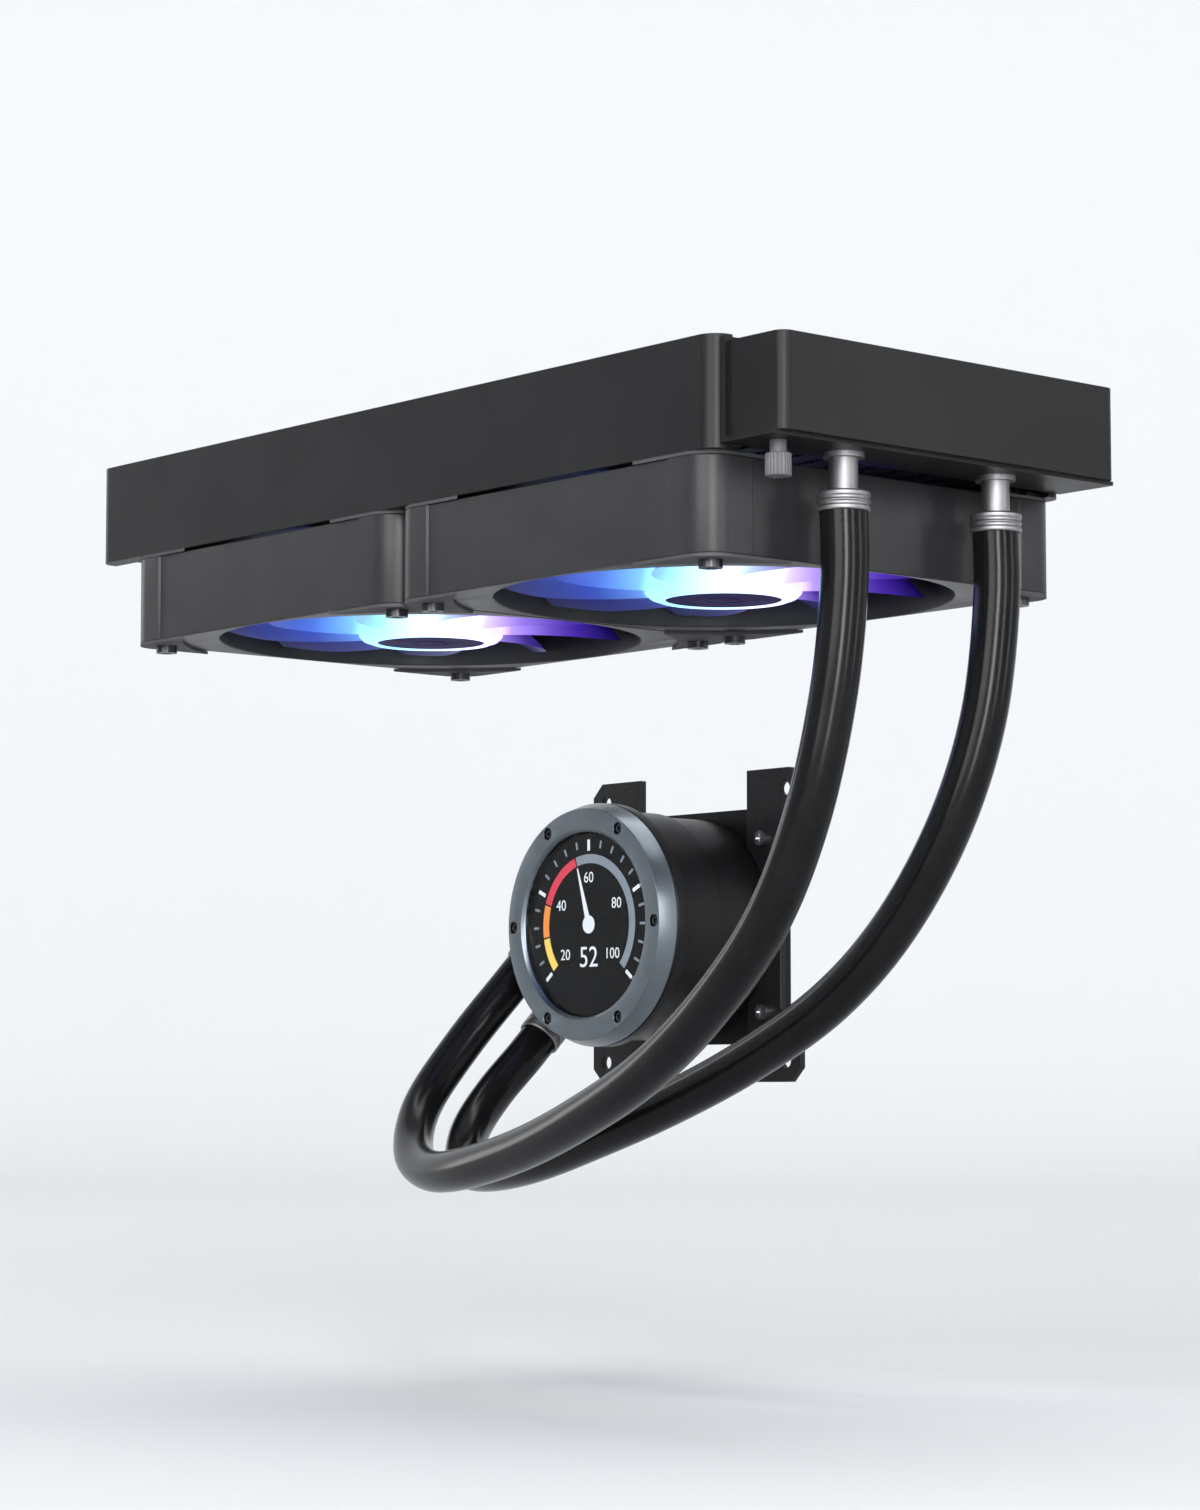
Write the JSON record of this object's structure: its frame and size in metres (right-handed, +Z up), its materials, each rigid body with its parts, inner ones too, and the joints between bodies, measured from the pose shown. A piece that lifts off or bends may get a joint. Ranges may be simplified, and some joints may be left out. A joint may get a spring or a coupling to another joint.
{
  "type": "liquid cooling radiator",
  "caption": "Finned liquid-cooling radiator with lit fans under it, a pump head with a round display and copper cold plate, and a pair of hoses between them.",
  "frame": {"origin": "centre of the radiator's top face, in the middle of its outer roof-screw holes", "axes": "+X along the radiator towards the hose ports, -Y towards the side the display faces, +Z up, out of the top face"},
  "size_m": [0.278, 0.17, 0.2037],
  "materials": {
    "radiator_black": "matte black powder coat",
    "tank_black": "matte black powder coat",
    "core_metal": "brazed, matte",
    "fin_black": "thin matte black paint",
    "fitting_metal": "satin black plated",
    "hose_rubber": "fine sleeve, satin",
    "fan_frame": "fine texture, satin",
    "fan_blade": "frosted translucent, lit",
    "fan_badge": "satin",
    "steel": "bright",
    "magnet": "matte ferrite",
    "bronze": "sintered, oiled",
    "copper": "machined copper",
    "winding": "enamelled copper wire",
    "board_white": "white solder mask",
    "board_green": "green solder mask",
    "pad_rubber": "matte",
    "screw_black": "black zinc",
    "screw_bright": "bright zinc",
    "pump_black": "moulded, satin",
    "pump_clear": "moulded",
    "ceramic": "polished ceramic",
    "display_black": "black, lit",
    "display_cover": "clear",
    "bezel_metal": "satin anodised",
    "bracket_steel": "black coat"
  },
  "bodies": {
    "cooler": {"side_plate_near": "radiator_black", "side_plate_far": "radiator_black", "port_tank": "tank_black", "return_tank": "tank_black", "header_front": "core_metal", "header_rear": "core_metal", "coolant_channels": "core_metal", "cooling_fins": "fin_black", "port_neck_supply": "fitting_metal", "port_neck_return": "fitting_metal", "fill_plug": "fitting_metal", "radiator_collars": "fitting_metal", "pump_collars": "fitting_metal", "supply_hose": "hose_rubber", "return_hose": "hose_rubber", "cold_plate": "copper", "cold_plate_screws": "screw_bright", "pump_gasket": "pad_rubber", "pump_chamber": "pump_black", "flow_plate": "pump_clear", "pump_shaft": "ceramic", "pump_stator_core": "steel", "pump_coils": "winding", "pump_board": "board_green", "pump_housing": "pump_black", "display_board": "board_green", "display_panel": "display_black", "display_glass": "display_cover", "bezel": "bezel_metal", "bezel_screws": "screw_black", "elbow_supply": "pump_black", "elbow_return": "pump_black", "bracket_left": "bracket_steel", "bracket_right": "bracket_steel", "bracket_screws": "screw_bright", "left_fan_frame": "fan_frame", "left_fan_bearing": "bronze", "left_fan_stator": "winding", "left_fan_light_board": "board_white", "left_fan_pads": "pad_rubber", "left_fan_screws": "screw_black", "right_fan_frame": "fan_frame", "right_fan_bearing": "bronze", "right_fan_stator": "winding", "right_fan_light_board": "board_white", "right_fan_pads": "pad_rubber", "right_fan_screws": "screw_black"},
    "left_fan_spinner": {"left_fan_rotor": "fan_blade", "left_fan_badge": "fan_badge", "left_fan_yoke": "steel", "left_fan_magnet": "magnet", "left_fan_shaft": "steel"},
    "right_fan_spinner": {"right_fan_rotor": "fan_blade", "right_fan_badge": "fan_badge", "right_fan_yoke": "steel", "right_fan_magnet": "magnet", "right_fan_shaft": "steel"},
    "pump_spinner": {"impeller": "pump_clear", "impeller_magnet": "magnet"}
  },
  "joints": [
    {"name": "left_fan_spin", "type": "hinge", "parent": "cooler", "child": "left_fan_spinner", "pos_m": [-0.06, 0, -0.045], "axis": [0, 0, 1], "continuous": true},
    {"name": "right_fan_spin", "type": "hinge", "parent": "cooler", "child": "right_fan_spinner", "pos_m": [0.06, 0, -0.045], "axis": [0, 0, 1], "continuous": true},
    {"name": "pump_spin", "type": "hinge", "parent": "cooler", "child": "pump_spinner", "pos_m": [-0.062, 0.095, -0.128], "axis": [0, 1, 0], "continuous": true}
  ]
}
